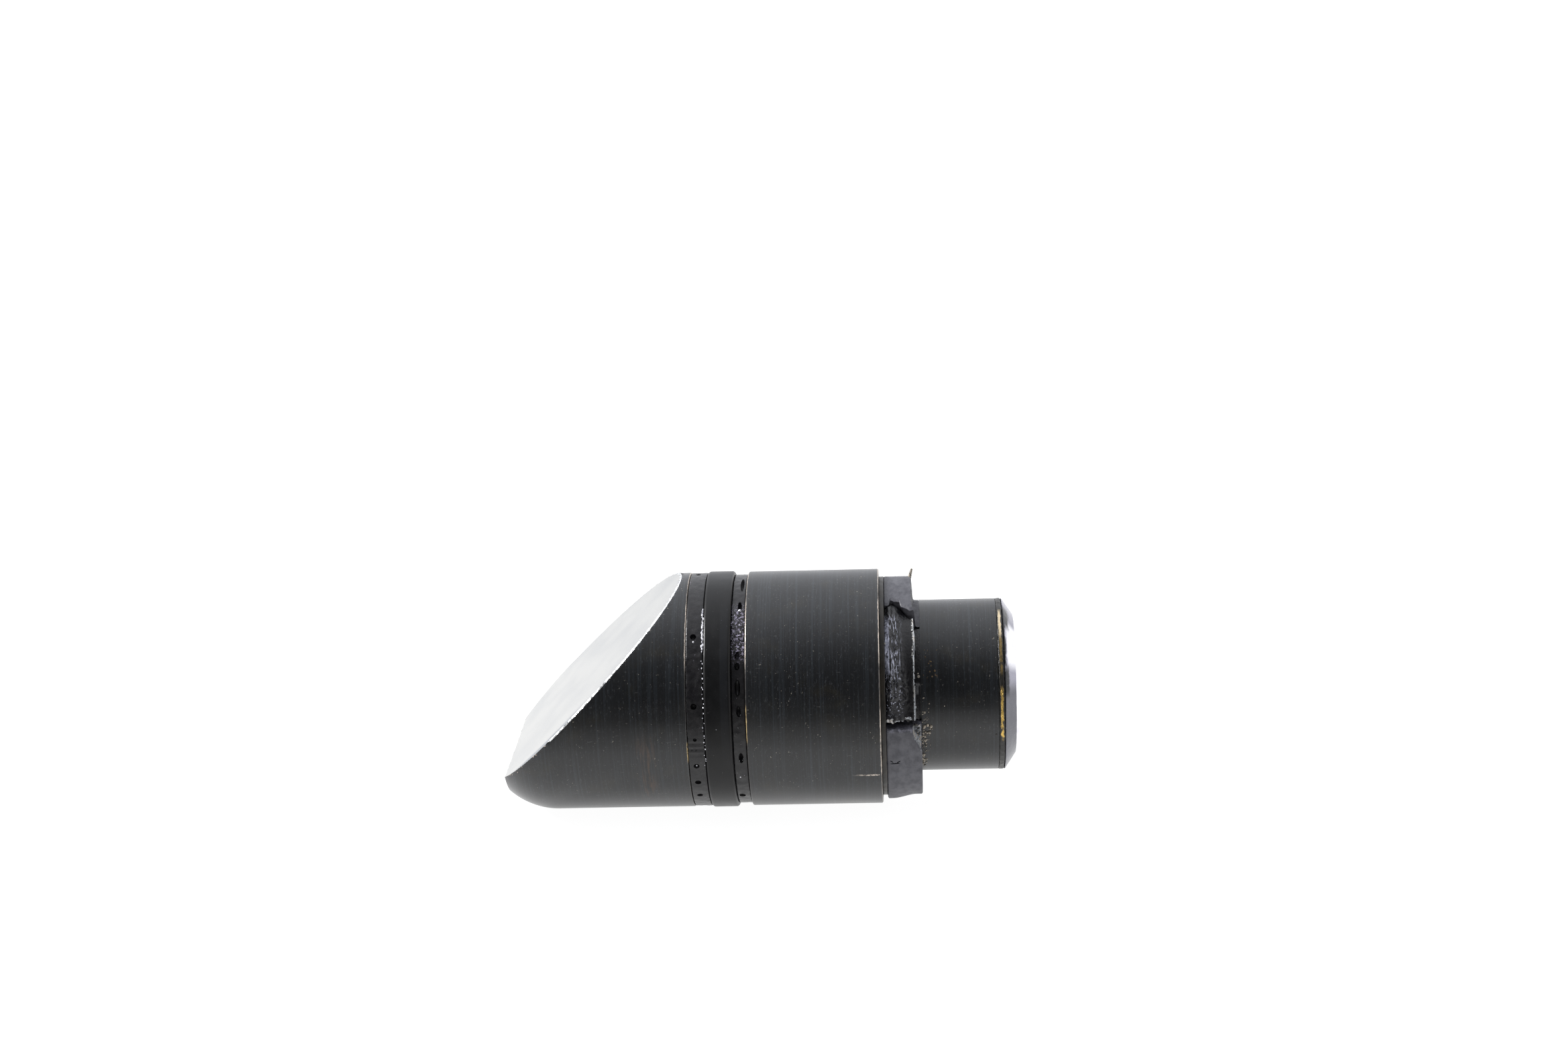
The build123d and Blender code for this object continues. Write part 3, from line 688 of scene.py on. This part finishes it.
class PLUNGER_OT_body(bpy.types.Operator):
    """Turns the blackened body, cuts its wedge face and bruises the rim of that face."""
    bl_idname = "plunger.body"
    bl_label = "Body"

    facing = Vector((-1, 0, 1)).normalized()            # the way the wedge face looks
    middle = Vector((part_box("plunger_body")[0][0] / MM + WEDGE_FROM_TIP, 0, 0)) * MM

    def off(self, spot):
        """Distance of a place from the wedge face, in millimetres."""
        return abs((spot - self.middle).dot(self.facing)) / MM

    def outline(self):
        """Half of the body's section, from the axis at the nose round to the axis in the bore."""
        seat_x, end_x = BUMPER_X1 + 0.02, SHANK_END
        places = run((TIP_X, 0.0), (TIP_X, NOSE_END_R), 1.2)
        places += arc(*NOSE_CENTRE, NOSE_ROUND_R, 130, 90, 16)
        places += [(GROOVE_X0 - 0.14, LAND_R), (GROOVE_X0 - 0.04, LAND_R - 0.04), (GROOVE_X0, LAND_R - 0.14),
                   (GROOVE_X0, GROOVE_FLOOR_R), (GROOVE_X1, GROOVE_FLOOR_R), (GROOVE_X1, LAND_R - 0.13)]
        places += arc(GROOVE_X1 + 0.13, LAND_R - 0.13, 0.13, 180, 90, 4)[1:]
        places += arc(SHOULDER_X - 0.15, LAND_R - 0.15, 0.15, 90, 0, 4)
        places += [(SHOULDER_X, RELIEF_R), (seat_x, RELIEF_R), (seat_x, SHANK_R), (end_x, SHANK_R),
                   (end_x, MOUTH_R + 0.15), (end_x - 0.15, MOUTH_R), (MOUTH_END_X, MOUTH_R),
                   (MOUTH_END_X, BORE_R), (BORE_END_X, BORE_R), (BORE_END_X, 0.0)]
        return places

    def cut(self, body, rim):
        """Cuts the wedge face, breaks its rim and lays fine loops on both sides of it."""
        pick(body, lambda face: True)
        bpy.ops.mesh.bisect(plane_co=self.middle, plane_no=self.facing, use_fill=True, clear_outer=True)
        bpy.ops.object.mode_set(mode="OBJECT")
        pick(body, lambda corner: self.off(corner.co) < 1e-3, "VERT")
        bpy.ops.mesh.subdivide(number_cuts=2)
        bpy.ops.mesh.bevel(offset=rim, segments=2, affect="EDGES")
        bpy.ops.object.mode_set(mode="OBJECT")
        pick(body, lambda face: face.normal.dot(self.facing) > 0.9999 and self.off(face.center) < 1e-3)
        bpy.ops.mesh.inset(thickness=0.22 * MM)
        bpy.ops.object.mode_set(mode="OBJECT")
        for depth in (0.3, 0.45):
            pick(body, lambda face: True)
            bpy.ops.mesh.bisect(plane_co=self.middle - self.facing * depth * MM, plane_no=self.facing)
            bpy.ops.object.mode_set(mode="OBJECT")

    def bruise(self, body):
        """Dents the rim, keeps the face within it level and returns that face's number."""
        def rim_share(x, radius, angle):
            off = self.off(around(radius, angle, x))
            return rise(off, 0.25, 0.1) * rise(radius, 8.8, 9.6) if off < 0.25 else 0

        roughen(body, 0.16, 0.28, rim_share)
        level = max(body.data.polygons, key=lambda face: len(face.vertices))
        for index in level.vertices:
            corner = body.data.vertices[index]
            corner.co -= self.facing * (corner.co - self.middle).dot(self.facing)
            corner.co.x = max(corner.co.x, TIP_X * MM)
        return level.index

    def execute(self, context):
        sizes, looks = context.scene.plunger_shape, context.scene.plunger_finish
        body = turned("turned_body", self.outline(), sizes.steps, closed=False)
        self.cut(body, sizes.rim)
        level = self.bruise(body)
        for face in body.data.polygons:
            at_face = max(self.off(body.data.vertices[i].co) for i in face.vertices) < 0.3
            ground = face.normal.dot(self.facing) > 0.97
            face.material_index = 0 if not at_face else 1 if ground else 2
        smooth(body, 30)
        body.data.polygons[level].use_smooth = False
        settle(body, "black_steel", "plunger_body",
               finishes=(black_oxide("#0e0f11", looks.wear), ground_steel(), bared_rim()))
        return {"FINISHED"}


def backup_outline(x0, x1, radius):
    """Square section of a backup ring with lightly broken corners, finely divided outside."""
    return ring_outline(x0, x1, SEAL_INNER_R, radius, 0.1, (0.4, 0.14, 0.4, 0.5))


class PLUNGER_OT_seals(bpy.types.Operator):
    """Turns the two backup rings and the O-ring between them, pits the front one and tears the rear one."""
    bl_idname = "plunger.seals"
    bl_label = "Groove seals"

    def front(self, ptfe):
        """Front backup ring: rubbed, rippled below, with a row of pinholes."""
        x0, x1, top = low("front_backup_ring").x, high("front_backup_ring").x, high("front_backup_ring").z
        ring = turned("front_backup", backup_outline(x0, x1 + 0.14, top), 360)
        roughen(ring, 0.07, 0.5, lambda x, r, a: rise(r, 10.6, 10.8))
        roughen(ring, 0.16, 0.25, lambda x, r, a: rise(r, 10.6, 10.8) * hump(a, 22, 26) * 0.8)

        def ripples(x, r, a):
            return x, r - 0.05 * hump(a, -9, 8) * rise(r, 10.6, 10.8) * (1 + math.sin(a * 4.2)), a

        shape(ring, ripples)
        holes = ((46, 0.6), (12, 0.6), (-4.6, 0.36), (-19.6, 0.56), (-31, 0.6), (-43, 0.55), (98, 0.5),
                 (150, 0.5), (-120, 0.4))
        carve(ring, [blob(-10.8, 10.95, angle, size, (1, 1, 1.5)) for angle, size in holes])
        smooth(ring, 40)
        settle(ring, "backup_ring", "front_backup_ring", finishes=(ptfe,))

    def rear(self, ptfe):
        """Rear backup ring: crinkled where it tore, with long dark voids."""
        x0, x1, top = low("rear_backup_ring").x, high("rear_backup_ring").x, high("rear_backup_ring").z
        ring = turned("rear_backup", backup_outline(x0, x1, top), 420)
        roughen(ring, 0.42, 0.26, lambda x, r, a: rise(r, 10.2, 10.6) * hump(a, 51, 17))
        roughen(ring, 0.09, 0.5, lambda x, r, a: rise(r, 10.4, 10.6))
        voids = ((-6.62, 64, 0.42, 1.5), (-6.5, 84, 0.36, 3.0), (-6.82, 36.5, 0.51, 0.75),
                 (-6.82, 31, 0.51, 0.75), (-6.8, 20.5, 0.54, 1.6), (-6.75, 9, 0.45, 1.1),
                 (-6.7, -16, 0.45, 1.2), (-6.9, -47, 0.6, 0.8))
        carve(ring, [blob(x, 10.72, angle, 1.0, (width, length, 0.9)) for x, angle, width, length in voids])
        smooth(ring, 40)
        settle(ring, "backup_ring", "rear_backup_ring", finishes=(ptfe,))

    def o_ring(self):
        """O-ring squeezed nearly square, its outside a little uneven."""
        x0, x1, top = low("o_ring").x - 0.03, high("o_ring").x + 0.01, high("o_ring").z
        corner, inner = 0.3, SEAL_INNER_R
        outline = (arc(x0 + corner, inner + corner, corner, 270, 180, 6)
                   + arc(x0 + corner, top - corner, corner, 180, 90, 8)
                   + run((x0 + corner, top), (x1 - corner, top), 0.2)[1:]
                   + arc(x1 - corner, top - corner, corner, 90, 0, 8)
                   + arc(x1 - corner, inner + corner, corner, 0, -90, 6))
        ring = turned("squeezed_o_ring", outline, 256)
        roughen(ring, 0.05, 2.2, lambda x, r, a: rise(r, 10.2, 10.9))
        shape(ring, lambda x, r, a: (x, min(r, top), a))
        smooth(ring, 60)
        settle(ring, "seal_rubber", "o_ring", finishes=(nitrile(),))

    def execute(self, context):
        ptfe = filled_ptfe()
        self.front(ptfe)
        self.rear(ptfe)
        self.o_ring()
        return {"FINISHED"}


class PLUNGER_OT_washer(bpy.types.Operator):
    """Turns the washer behind the land, its rim lightly hammered."""
    bl_idname = "plunger.washer"
    bl_label = "Washer"

    def execute(self, context):
        outline = ring_outline(SHOULDER_X, BUMPER_X0, WASHER_INNER_R, high("shoulder_washer").z, 0.05,
                               (0.6, 0.12, WHOLE, WHOLE))
        washer = turned("hammered_washer", outline, 288)
        roughen(washer, 0.07, 0.6, lambda x, r, a: rise(r, 9.9, 10.2))
        smooth(washer, 40)
        settle(washer, "washer_steel", "shoulder_washer", finishes=(oiled_washer(),))
        return {"FINISHED"}


def rag(x, a, size, seed):
    """Ragged value from -1 to 1 on the bumper, with patches of a size in millimetres."""
    return noise.noise(Vector((x / size, a * 0.18 / size, seed)))


def rear_edge(a):
    """Where the worn rear edge of the front length lies, in millimetres."""
    ragged = 0.04 * rag(0, a, 0.9, 2.0) + 0.03 * rag(0, a, 0.25, 5.0)
    return 9.16 + 0.10 * rise(a, 58, 50) - 0.10 * rise(a, 46, 30) + ragged


# Each length's shape is a rule from a point's x and angle to the radius of its outside there and the angle
# that the point moves to, so that the ends are ragged.

def upper_length(x, a):
    """Full height, its end broken in steps, its rear edge worn back."""
    a = a if a > 0 else a + 360
    start = 70.0 - 1.0 * rise(x, 7.2, 8.0) - 4.4 * rise(x, 7.98, 8.12) - 2.2 * rise(x, 8.1, 9.1)
    start -= 3.5 * rise(x, 7.16, 7.0)
    start += 0.9 * rag(x, 0, 0.35, 3.1)
    if a < 85:
        a = 85 - (85 - a) * (85 - start) / (85 - 58)
    top = BUMPER_R - 0.08 * rise(a, start + 2.2, start)
    worn = 9.08 + 0.2 * rise(a, start + 5, start) + 0.05 * rag(x, a, 0.7, 2.0)
    top -= (top - 7.98) * rise(x, worn, worn + 0.2)
    return top + 0.015 * rag(x, a, 0.25, 8.0), a


def front_length(x, a):
    """Sunk and torn: wrinkled above, pitted below, with a feathered lip along its worn rear edge."""
    end = 66.0 + 2.2 * rise(x, 7.05, 7.3) - 8.4 * rise(x, 7.3, 9.2) + 1.0 * rag(x, 0, 0.3, 4.2)
    start = 0.4 + 1.2 * rag(x, 0, 0.3, 6.6) + 0.8 * hump(x, 8.1, 0.4)
    if a > 40:
        a = 40 + (a - 40) * (end - 40) / (66 - 40)
    elif a < 12:
        a = 12 - (12 - a) * (12 - start) / 12
    top = 9.98 - 0.50 * rise(x, 6.95, 8.7)
    top += 0.12 * hump(x, BUMPER_X0 + 0.5, 0.3) * rise(a, 4, 14)
    wrinkle = noise.noise(Vector((x * 5.5 - a * 0.10, a * 0.45, 1.7)))
    wrinkle += 0.6 * noise.noise(Vector((x * 11 - a * 0.2, a * 1.1, 5.2)))
    top += 0.10 * wrinkle * rise(x, 8.6, 7.2) * rise(a, 8, 24) * rise(a, 70, 56)
    pits = noise.noise(Vector((x * 3.2, a * 0.5, 9.4)))
    top += 0.17 * pits * hump(a, 18, 14) * rise(x, 9.0, 8.4)
    top += 0.10 * rise(a, 5.5, 1.5) * (1 + rag(x, 0, 0.3, 2.7))
    worn = rear_edge(a)
    top += 0.22 * hump(x, worn, 0.13) * (0.8 + 0.6 * rag(x, a, 0.25, 7.0))
    ledge = 7.98 + 1.15 * rise(a, 22, 14)
    top -= (top - ledge) * rise(x, worn + 0.03, worn + 0.16)
    top -= 0.12 * rise(x, BUMPER_X0 + 0.4, BUMPER_X0) * rise(a, 3, 8)
    return top - 1.0 * rise(x, 9.6, 9.72) * rise(a, 22, 14), a


def lower_length(x, a):
    """Full height, its rear corner crumbled away near the break."""
    a = a if a < 100 else a - 360
    start = -3.0 + 0.7 * rag(x, 0, 0.25, 3.3) - 0.6 * rise(x, 8.9, 9.3)
    if a > -16:
        a = -16 + (a + 16) * (start + 16) / 16
    edge_x = 8.95 + 0.83 * rise(a, -3, -18) + 0.05 * rag(0, a, 0.35, 6.0)
    top = BUMPER_R - 0.03 - 0.10 * rise(a, start - 1.4, start)
    top += 0.4 * hump(a, -78, 50) * rise(x, 9.2, 7.0) + 0.02 * rag(x, a, 0.9, 8.0)
    ledge = 8.5 + 0.8 * hump(a, -7, 9) * (0.7 + 0.8 * rag(x, a, 0.22, 9.5))
    if edge_x < 9.72:
        top -= (top - ledge) * rise(x, edge_x - 0.06, edge_x + 0.08)
    return top, a


class PLUNGER_OT_bumper(bpy.types.Operator):
    """Casts the three broken lengths of the bumper, with their torn ends and worn rear edge."""
    bl_idname = "plunger.bumper"
    bl_label = "Bumper"

    def segment(self, name, start, sweep, step, rule):
        """Turns one length of the plain bumper and rebuilds it by its rule."""
        inner, top = BUMPER_INNER_R, BUMPER_R
        outline = ring_outline(BUMPER_X0, BUMPER_X1, inner, top, 0.15, (0.3, 0.075, 0.25, 0.6), 4)
        made = turned(name, outline, round(sweep / step), start, sweep)

        def moved(x, r, a):
            target, new_a = rule(x, a)
            return x, inner + (r - inner) * (target - inner) / (top - inner), new_a

        shape(made, moved)
        return made

    def is_pale(self, node, face):
        """Whether a face of a length is feathered, crumbled or frayed."""
        x, radius, angle = where(face.center)
        crumbled = 8.95 < x < 9.72 and -19 < angle < -2 and 8.7 < radius < 10.1
        if node != "bumper_front_segment":
            return crumbled
        feathered = radius > 9.0 and abs(x - rear_edge(angle) - 0.04) < 0.09
        frayed = radius > 9.2 and abs(angle) < 2.6 and x < 8.9 and rag(x, angle, 0.3, 1.3) > -0.05
        return feathered or crumbled or frayed

    def execute(self, context):
        looks = context.scene.plunger_finish
        rubbed, torn, edge = rubbed_polyurethane(hexed(looks.rubber)), torn_polyurethane(), torn_edge()
        lengths = (("bumper_upper", "bumper_upper_segment", 58.0, 147.0, 0.6, upper_length, rubbed),
                   ("bumper_front", "bumper_front_segment", 0.0, 66.0, 0.45, front_length, torn),
                   ("bumper_lower", "bumper_lower_segment", -155.0, 155.0, 0.6, lower_length, rubbed))
        for name, node, start, sweep, step, rule, stuff in lengths:
            made = self.segment(name, start, sweep, step, rule)
            if node == "bumper_lower_segment":
                carve(made, [blob(7.3, 10.2, -24.0, 1.0, (0.9, 0.17, 0.7), 4),
                             blob(7.62, 10.2, -22.8, 1.0, (0.42, 0.13, 0.6), 32),
                             blob(7.0, 10.2, -22.6, 1.0, (0.36, 0.12, 0.6), -40)])
            for face in made.data.polygons:
                face.material_index = int(self.is_pale(node, face))
            smooth(made, 50)
            settle(made, "bumper_rubber", node, finishes=(stuff, edge))
        return {"FINISHED"}


class PLUNGER_OT_end(bpy.types.Operator):
    """Turns the brass ring, the bevelled collar and the domed button, and dresses what is inside."""
    bl_idname = "plunger.end"
    bl_label = "Brass ring, collar and button"

    def brass_ring(self, looks):
        """Thin ring squeezed out a little, with blobs where it ran."""
        outline = ring_outline(low("brass_ring").x, COLLAR_X0, 7.18, SHANK_R, 0.12,
                               (WHOLE, 0.1, WHOLE, WHOLE))
        ring = turned("squeezed_brass_ring", outline, 288)
        roughen(ring, 0.12, 0.35, lambda x, r, a: rise(r, 7.7, 7.95))
        beads = [blob(17.12, 7.93, -8.0 - 2.7 * i, size, (0.8, 1.4, 0.5))
                 for i, size in enumerate((0.34, 0.4, 0.46, 0.3))]
        beads += [blob(17.15 + 0.12 * math.sin(i * 1.9), 7.98, 15 - 2.2 * i, 0.16, (1.2, 1.6, 0.6))
                  for i in range(9)]
        beads += [blob(16.62, 8.0, -15.5, 0.2, (1, 1, 0.5)), blob(17.2, 7.96, 62, 0.3, (1, 2.2, 0.4))]
        ring = gather("squeezed_brass_ring", [ring] + beads)
        smooth(ring, 60)
        settle(ring, "brass", "brass_ring", finishes=(brass(hexed(looks.brass)),))

    def collar(self):
        """Bevelled collar on its thin spigot."""
        bevel_x, face_r, bore, spigot_r = COLLAR_X1 - BEVEL, SHANK_R - BEVEL_R, COLLAR_BORE_R, MOUTH_R - 0.01
        spigot_x = low("retaining_collar").x
        outline = (run((COLLAR_X0, 7.1), (COLLAR_X0, SHANK_R - 0.05), 0.4) + [(COLLAR_X0 + 0.04, SHANK_R)]
                   + run((bevel_x - 0.03, SHANK_R), (bevel_x, SHANK_R - 0.02), 0.1)
                   + run((bevel_x, SHANK_R - 0.02), (COLLAR_X1 - 0.03, face_r + 0.04), 0.15)
                   + [(COLLAR_X1, face_r), (COLLAR_X1, bore + 0.04), (COLLAR_X1 - 0.04, bore)]
                   + [(spigot_x, bore), (spigot_x, spigot_r), (COLLAR_X0 - 0.02, spigot_r)])
        collar = turned("bevelled_collar", outline, 288)
        roughen(collar, 0.03, 0.8, lambda x, r, a: rise(x, COLLAR_X0 + 0.01, COLLAR_X0 + 0.1))
        smooth(collar, 28)
        settle(collar, "bare_steel", "retaining_collar", finishes=(collar_steel(),))

    def button(self, looks):
        """Domed button: flange, seal groove, dome, and the pocket for the spring."""
        tip, base = high("thrust_button").x, COLLAR_X1
        ball = (HEAD_R ** 2 + (tip - base) ** 2) / (2 * (tip - base))
        half = math.degrees(math.asin(HEAD_R / ball))
        pocket_x, pocket_r, flange_r, groove_r = 15.0, 5.35, MOUTH_R - 0.06, HEAD_R - 0.25
        flange_x0 = low("thrust_button").x
        flange_x1 = flange_x0 + 2.0
        outline = ([(pocket_x, 0.0), (pocket_x, pocket_r), (flange_x0, pocket_r), (flange_x0, flange_r),
                    (flange_x1, flange_r), (flange_x1, HEAD_R), (16.7, HEAD_R), (16.8, groove_r),
                    (17.6, groove_r), (17.7, HEAD_R)]
                   + arc(tip - ball, 0.0, ball, half, 0, 24)[:-1] + [(tip, 0.0)])
        button = turned("domed_button", outline, 192, closed=False)
        smooth(button, 30)
        settle(button, "polished_steel", "thrust_button", body="button",
               finishes=(polished_steel("polished_button_steel", hexed(looks.button), 0.12),))

    def inside(self):
        """Finishes of the pieces that stay as the frame has them, and a mesh of its own for the spring."""
        inner = {"button_seal": granular("oiled_seal_rubber", "#1a1a1b", "#2a2a2b", 0.2, 0.4),
                 "button_spring": polished_steel("drawn_spring_wire", "#7d8085", 0.3),
                 "spring_seat": polished_steel("turned_seat_steel", "#9b9da0", 0.35)}
        for node, material in inner.items():
            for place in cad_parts[node].material_slots:
                place.material = material
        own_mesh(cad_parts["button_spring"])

    def execute(self, context):
        looks = context.scene.plunger_finish
        self.brass_ring(looks)
        self.collar()
        self.button(looks)
        self.inside()
        return {"FINISHED"}


class PLUNGER_OT_crumbs(bpy.types.Operator):
    """Scatters the swarf, rust and grease beads that cling to the plunger."""
    bl_idname = "plunger.crumbs"
    bl_label = "Crumbs"

    def scatter(self, chance, count, x_from, a_from, sizes, radius):
        """Small lumps within a stretch of x and of angle."""
        made = []
        for _ in range(count):
            x, a = chance.uniform(*x_from), chance.uniform(*a_from)
            size = sizes[0] + (sizes[1] - sizes[0]) * chance.random() ** 2
            stretch = (chance.uniform(0.7, 1.2), chance.uniform(0.7, 1.5), chance.uniform(0.3, 0.6))
            made.append(blob(x, radius, a, size, stretch, chance.uniform(0, 180), 1))
        return made

    def finish(self, name, parts, slot, material):
        """Joins lumps into one piece and settles it."""
        piece = gather(name, parts)
        smooth(piece, 60)
        settle(piece, slot, finishes=(material,))

    def swarf(self, chance):
        """Pale dried paste on the shank behind the bumper, a flake on the bumper and a few lone crumbs."""
        shank = SHANK_R + 0.02
        lumps = self.scatter(chance, 34, (9.9, 10.6), (-30, 16), (0.08, 0.22), shank)
        lumps += self.scatter(chance, 44, (9.84, 10.6), (-30, 0), (0.05, 0.16), shank)
        lumps += self.scatter(chance, 34, (9.84, 10.2), (-48, -12), (0.14, 0.42), shank)
        lumps += self.scatter(chance, 16, (9.3, 9.8), (-24, -4), (0.1, 0.26), 9.6)
        turns = [i * 0.42 + chance.uniform(-0.2, 0.2) for i in range(13)]
        lumps += [blob(10.35 + 0.4 * math.cos(turn), shank + 0.02, -10 + 2.9 * math.sin(turn),
                       chance.uniform(0.1, 0.4), (1, 1, 0.5), 0, 1) for turn in turns]
        lumps += [blob(9.0 + 0.05 * i, 10.2 + 0.16 * i, 102 + 1.2 * i, 0.34 - 0.03 * i,
                       (1.2, 0.8, 1.4), 20, 1) for i in range(5)]
        lumps += [blob(9.62, 9.3, 25, 0.3, detail=1), blob(6.6, 10.28, 42, 0.14, detail=1),
                  blob(9.56, 9.5, 26.5, 0.14, detail=1), blob(11.9, 8.0, 6, 0.12, detail=1)]
        self.finish("bone_coloured_swarf", lumps, "bumper_rubber",
                    granular("dried_swarf_paste", "#3c3833", "#a1988a", 0.22, 0.55))

    def grease(self, chance):
        """Whitish grease beads along both backup rings and a few specks on the O-ring; the beads along the
        front seam are painted highlights as well as grease.
        """
        seam_x, seam_r = -9.95, 10.99
        beads = []
        # These whitish beads along the front seam stand in for its glints: painted highlights as well as
        # grease.
        for i in range(20):
            a = 62 - i * 1.25 + chance.uniform(-0.3, 0.3)
            x = seam_x + chance.uniform(-0.08, 0.06)
            beads.append(blob(x, seam_r, a, chance.uniform(0.12, 0.26), (0.9, 1.7, 0.6), 0, 1))
        for i in range(26):
            a = 34 - i * 2.1 + chance.uniform(-0.8, 0.8)
            x = seam_x + chance.uniform(-0.1, 0.08)
            beads.append(blob(x, seam_r, a, chance.uniform(0.07, 0.15), (1, 1.3, 0.5), 0, 1))
        beads += [blob(-6.62, 10.62, 62, 0.36, detail=2), blob(-10.78, 10.94, 43.3, 0.18, detail=2),
                  blob(-10.8, 10.72, -20, 0.2, detail=1), blob(-6.9, 10.68, -29, 0.2, detail=1)]
        beads += self.scatter(chance, 16, (-7.2, -6.4), (-24, 8), (0.05, 0.12), 10.7)
        beads += self.scatter(chance, 12, (-9.5, -7.8), (-60, 30), (0.05, 0.12), 11.06)
        self.finish("grease_beads", beads, "backup_ring",
                    granular("grease_and_glints", "#9a9aa2", "#e8e8ee", 0.3, 0.12, 0.3))

    def execute(self, context):
        chance = random.Random(context.scene.plunger_shape.seed)
        self.swarf(chance)
        rust = self.scatter(chance, 22, (9.9, 11.4), (24, 44), (0.07, 0.24), SHANK_R - 0.01)
        self.finish("rust_specks", rust, "black_steel", granular("rust", "#2e2518", "#6b5433", 0.12, 0.7))
        self.grease(chance)
        return {"FINISHED"}


class PLUNGER_OT_stage(bpy.types.Operator):
    """Lays the pale floor, hangs the soft light round it and sets the camera."""
    bl_idname = "plunger.stage"
    bl_label = "Stage"

    def execute(self, context):
        clear()
        bpy.ops.mesh.primitive_plane_add(size=6.0, location=(0, 0, FLOOR_Z * MM))
        floor = bpy.context.object
        floor.name = "pale_floor"
        bpy.ops.object.transform_apply(location=True)
        paper = bpy.data.materials.new("white_light_table")
        tree = emptied(paper)
        glow = add(tree, "Emission", (1, 1, 1, 1), 0.96)
        matt = add(tree, "BsdfDiffuse", (0.22, 0.22, 0.22, 1))
        add(tree, "OutputMaterial", add(tree, "AddShader", glow, matt))
        floor.data.materials.append(paper)

        bpy.ops.mesh.primitive_plane_add(size=1.0, location=(0, -0.272, FLOOR_Z * MM + 0.0004))
        flag = bpy.context.object
        flag.name = "dark_flag"
        flag.scale = (0.8, 0.5, 1)
        bpy.ops.object.transform_apply(location=True, scale=True)
        flag.visible_camera = flag.visible_diffuse = flag.visible_shadow = False
        felt = bpy.data.materials.new("grey_felt_flag")
        tree = emptied(felt)
        depth = add(tree, "SeparateXYZ", add(tree, "TexCoord", out=3), out=1)
        level = add(tree, "MapRange", depth, -0.075, -0.022, 0.12, 0.96, interpolation_type="SMOOTHSTEP")
        add(tree, "OutputMaterial", add(tree, "Emission", (1, 1, 1, 1), level))
        flag.data.materials.append(felt)

        world = bpy.data.worlds.new("light_tent")
        context.scene.world = world
        tree = emptied(world)
        way = add(tree, "TexCoord", out=0)
        across = add(tree, "SeparateXYZ", way, out=0)
        back = add(tree, "Math", add(tree, "SeparateXYZ", way, out=1), -1.0, operation="MULTIPLY")
        up = add(tree, "Math", add(tree, "SeparateXYZ", way, out=2), 0.0, operation="MAXIMUM")
        turn = add(tree, "Math", up, back, operation="ARCTAN2")
        turn = add(tree, "Math", turn, 1 / math.pi, operation="MULTIPLY")
        tent = add(tree, "ValToRGB", turn)
        stops = tent.node.color_ramp
        places = ((0, 0.07), (30, 0.09), (48, 0.22), (58, 0.40), (69, 0.66), (80, 0.95), (92, 1.25),
                  (106, 1.5), (122, 1.5), (150, 1.2), (180, 1.05))
        while len(stops.elements) < len(places):
            stops.elements.new(0.5)
        for stop, (angle, level) in zip(stops.elements, places):
            stop.position = angle / 180
            stop.color = (level * 0.98, level, level * 1.05, 1)
        wide = add(tree, "Math", across, operation="ABSOLUTE")
        side = add(tree, "MapRange", wide, 0.35, 0.8, 0.0, 1.0, interpolation_type="SMOOTHSTEP")
        colour = add(tree, "Mix", side, data_type="RGBA", i6=tent, i7=(1, 1, 1.02, 1), out=2)
        add(tree, "OutputWorld", add(tree, "Background", colour, 1.0))

        bpy.ops.object.light_add(type="AREA")
        lamp = bpy.context.object
        lamp.name = "side_softbox"
        lamp.data.size = 0.12
        lamp.data.energy = 4.2
        aim = Vector((-0.78, 0.02, 0.6)).normalized()
        lamp.matrix_world = Matrix.Translation(aim * 0.5) @ aim.to_track_quat("Z", "Y").to_matrix().to_4x4()

        bpy.ops.object.camera_add()
        camera = bpy.context.object
        camera.name = "product_camera"
        right = Vector((0.9988, 0.0359, -0.0341))
        up = Vector((0.0222, 0.2901, 0.9567))
        up = (up - up.dot(right) * right).normalized()
        back = right.cross(up)
        turn = Matrix((right, up, back)).transposed().to_4x4()
        camera.matrix_world = Matrix.Translation(Vector((8.39, -235.31, 87.64)) * MM) @ turn
        camera.data.sensor_width = 36
        camera.data.lens = 61.0
        camera.data.clip_start = 0.005
        context.scene.camera = camera
        context.scene.view_settings.view_transform = "Standard"
        return {"FINISHED"}


PIECES = (PLUNGER_OT_body, PLUNGER_OT_seals, PLUNGER_OT_washer, PLUNGER_OT_bumper, PLUNGER_OT_end,
          PLUNGER_OT_crumbs, PLUNGER_OT_stage)


class PLUNGER_PT_sidebar(bpy.types.Panel):
    """Lists the plunger's settings and pieces."""
    bl_idname = "PLUNGER_PT_sidebar"
    bl_label = "Locking plunger"
    bl_space_type = "VIEW_3D"
    bl_region_type = "UI"
    bl_category = "Plunger"

    def draw(self, context):
        for group in (context.scene.plunger_shape, context.scene.plunger_finish):
            for key in group.__annotations__:
                self.layout.prop(group, key)
        for piece in PIECES:
            self.layout.operator(piece.bl_idname)


CLASSES = (PlungerFinishSettings, PlungerShapeSettings) + PIECES + (PLUNGER_PT_sidebar,)


def register():
    for kind in CLASSES:
        bpy.utils.register_class(kind)
    bpy.types.Scene.plunger_finish = PointerProperty(type=PlungerFinishSettings)
    bpy.types.Scene.plunger_shape = PointerProperty(type=PlungerShapeSettings)


def unregister():
    del bpy.types.Scene.plunger_shape
    del bpy.types.Scene.plunger_finish
    for kind in reversed(CLASSES):
        bpy.utils.unregister_class(kind)


def main():
    """Builds every piece in order."""
    register()
    for step in (bpy.ops.plunger.body, bpy.ops.plunger.seals, bpy.ops.plunger.washer, bpy.ops.plunger.bumper,
                 bpy.ops.plunger.end, bpy.ops.plunger.crumbs, bpy.ops.plunger.stage):
        step()


if __name__ == "__main__":
    main()
